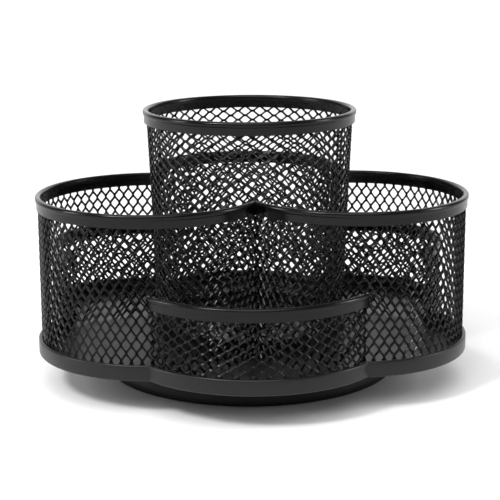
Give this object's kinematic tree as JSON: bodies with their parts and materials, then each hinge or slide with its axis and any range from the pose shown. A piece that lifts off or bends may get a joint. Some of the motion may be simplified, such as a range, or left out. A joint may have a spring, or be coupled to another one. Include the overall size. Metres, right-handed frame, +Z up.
{
  "type": "lazy susan desk organizer",
  "caption": "Round-lobed black mesh desk organizer: a tall centre cup, three compartments and three low pockets, turning on a ball-bearing base.",
  "frame": {"origin": "on the spin axis, at the underside of the non-slip pad where the organizer stands", "axes": "+Z up along the spin axis, -Y towards the user and the front pocket, +X to the user's right"},
  "size_m": [0.1784, 0.1729, 0.1115],
  "materials": {
    "powder_coat_rim": "semi-gloss black powder coat on folded steel strip",
    "powder_coat_mesh": "semi-gloss black powder coat on expanded steel mesh",
    "powder_coat_tray": "satin black powder coat on pressed steel sheet",
    "moulded_base": "fine-grained moulded black ABS",
    "zinc_plate": "bright zinc plating",
    "black_oxide": "black oxide on turned steel, oiled",
    "bearing_steel": "polished bearing steel, lightly greased",
    "nylon": "natural moulded nylon",
    "foam_pad": "black closed-cell foam"
  },
  "bodies": {
    "base": {"non_slip_pad": "foam_pad", "base_disc": "moulded_base", "lower_bearing_plate": "zinc_plate", "base_screws": "zinc_plate", "pivot_bush": "nylon", "pivot_washer": "black_oxide", "pivot_screw": "black_oxide"},
    "ball_cage": {"ball_cage_ring": "nylon", "bearing_balls": "bearing_steel"},
    "carousel": {"upper_bearing_plate": "zinc_plate", "tray_rivets": "powder_coat_tray", "tray_pan": "powder_coat_tray", "centre_cup_dish": "powder_coat_tray", "centre_cup_mesh": "powder_coat_mesh", "centre_cup_rim": "powder_coat_rim", "left_mesh": "powder_coat_mesh", "left_rim": "powder_coat_rim", "right_mesh": "powder_coat_mesh", "right_rim": "powder_coat_rim", "rear_mesh": "powder_coat_mesh", "rear_rim": "powder_coat_rim", "front_pocket_mesh": "powder_coat_mesh", "front_pocket_rim": "powder_coat_rim", "left_rear_pocket_mesh": "powder_coat_mesh", "left_rear_pocket_rim": "powder_coat_rim", "right_rear_pocket_mesh": "powder_coat_mesh", "right_rear_pocket_rim": "powder_coat_rim"}
  },
  "joints": [
    {"name": "carousel_spin", "type": "hinge", "parent": "base", "child": "carousel", "pos_m": [0, 0, 0.0146], "axis": [0, 0, 1], "continuous": true},
    {"name": "ball_cage_spin", "type": "hinge", "parent": "base", "child": "ball_cage", "pos_m": [0, 0, 0.0092], "axis": [0, 0, 1], "continuous": true}
  ],
  "couplings": [
    {"joint": "ball_cage_spin", "follows": "carousel_spin", "ratio": 0.5}
  ]
}
